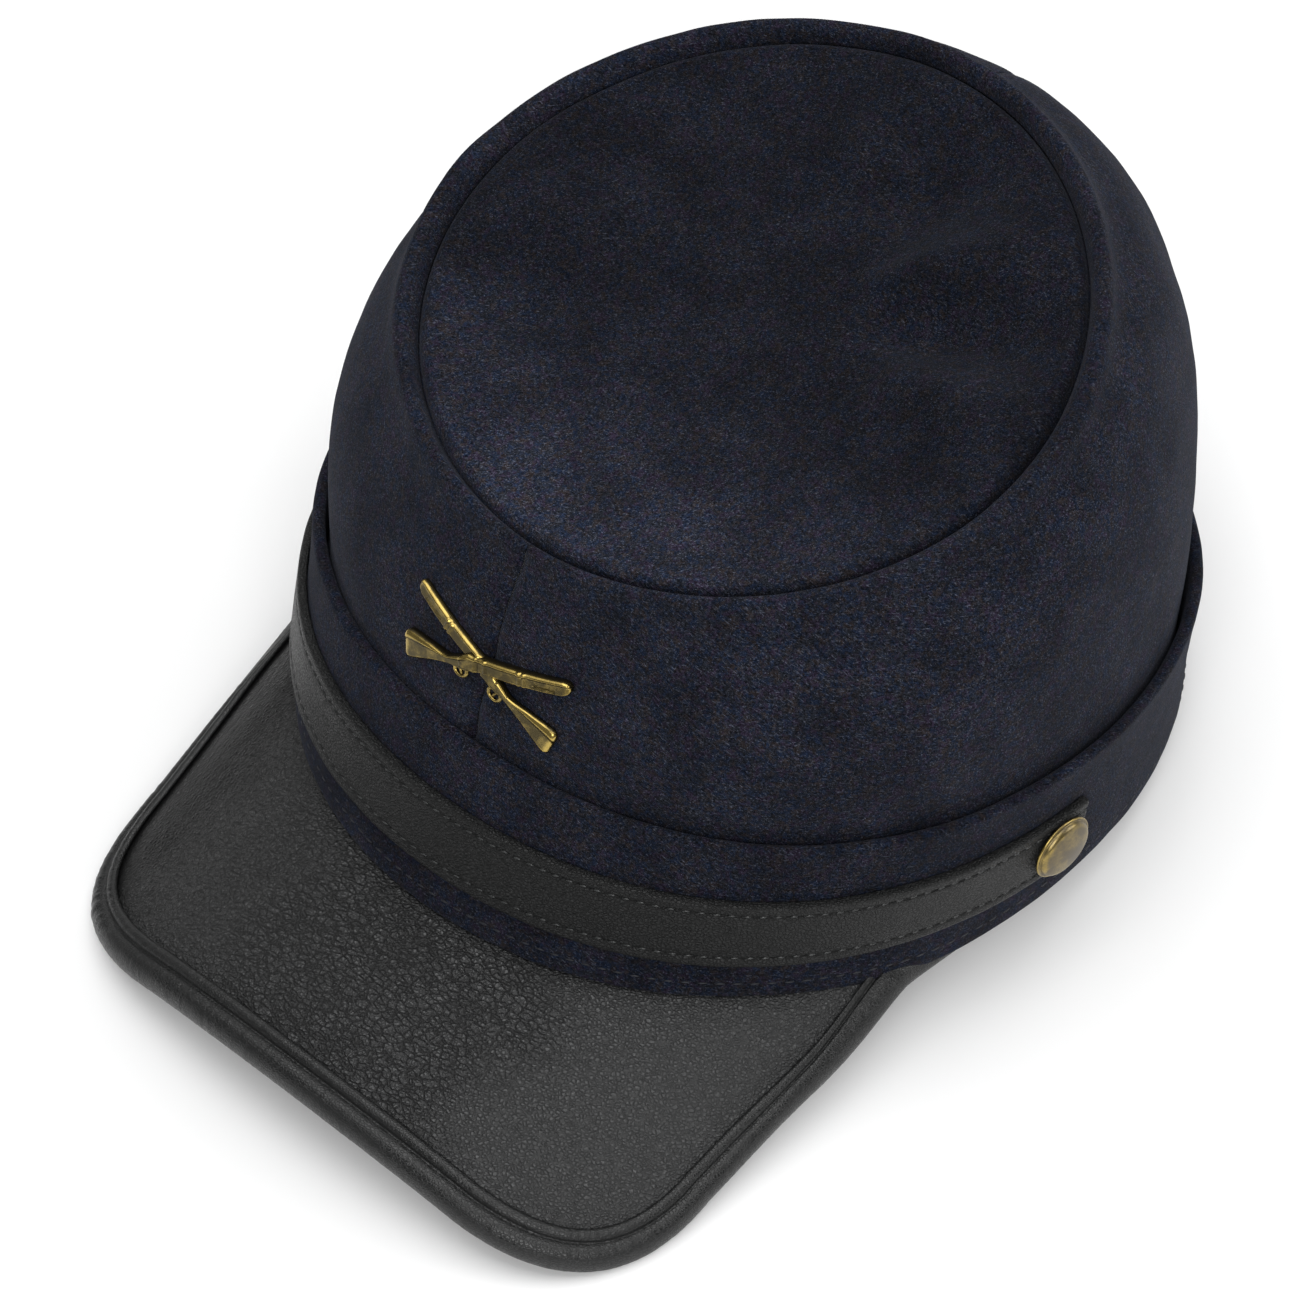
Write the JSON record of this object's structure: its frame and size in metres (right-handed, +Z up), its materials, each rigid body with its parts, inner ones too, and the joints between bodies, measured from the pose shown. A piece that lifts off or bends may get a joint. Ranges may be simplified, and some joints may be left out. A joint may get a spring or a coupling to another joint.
{
  "type": "military cap",
  "caption": "Navy wool forage cap with a recessed round top, a turned-up band, a squared leather peak, a chin strap between domed buttons and a crossed-guns badge.",
  "frame": {"origin": "on the ground under the middle of the cap's box, as it lies by itself on its rim's back and its peak's corners", "axes": "+Z up, -Y to the cap's front, +X to the wearer's left"},
  "size_m": [0.1942, 0.2482, 0.1325],
  "materials": {
    "side_wool": "navy melton wool with dark heather",
    "top_wool": "navy melton wool with dark heather",
    "band_wool": "navy melton wool, folded up as a cuff",
    "peak_leather": "black pebble-grain leather, satin",
    "edge_leather": "black smooth leather, rolled and stitched",
    "strap_leather": "black leather with two rows of stitches",
    "button_brass": "antique brass, satin dome",
    "badge_brass": "antique brass casting with polished edges"
  },
  "bodies": {
    "root": {"crown_side_left": "side_wool", "crown_side_right": "side_wool", "crown_top": "top_wool", "band": "band_wool", "peak": "peak_leather", "peak_binding": "edge_leather", "chin_strap": "strap_leather", "button_left": "button_brass", "button_right": "button_brass", "badge": "badge_brass"}
  },
  "joints": []
}
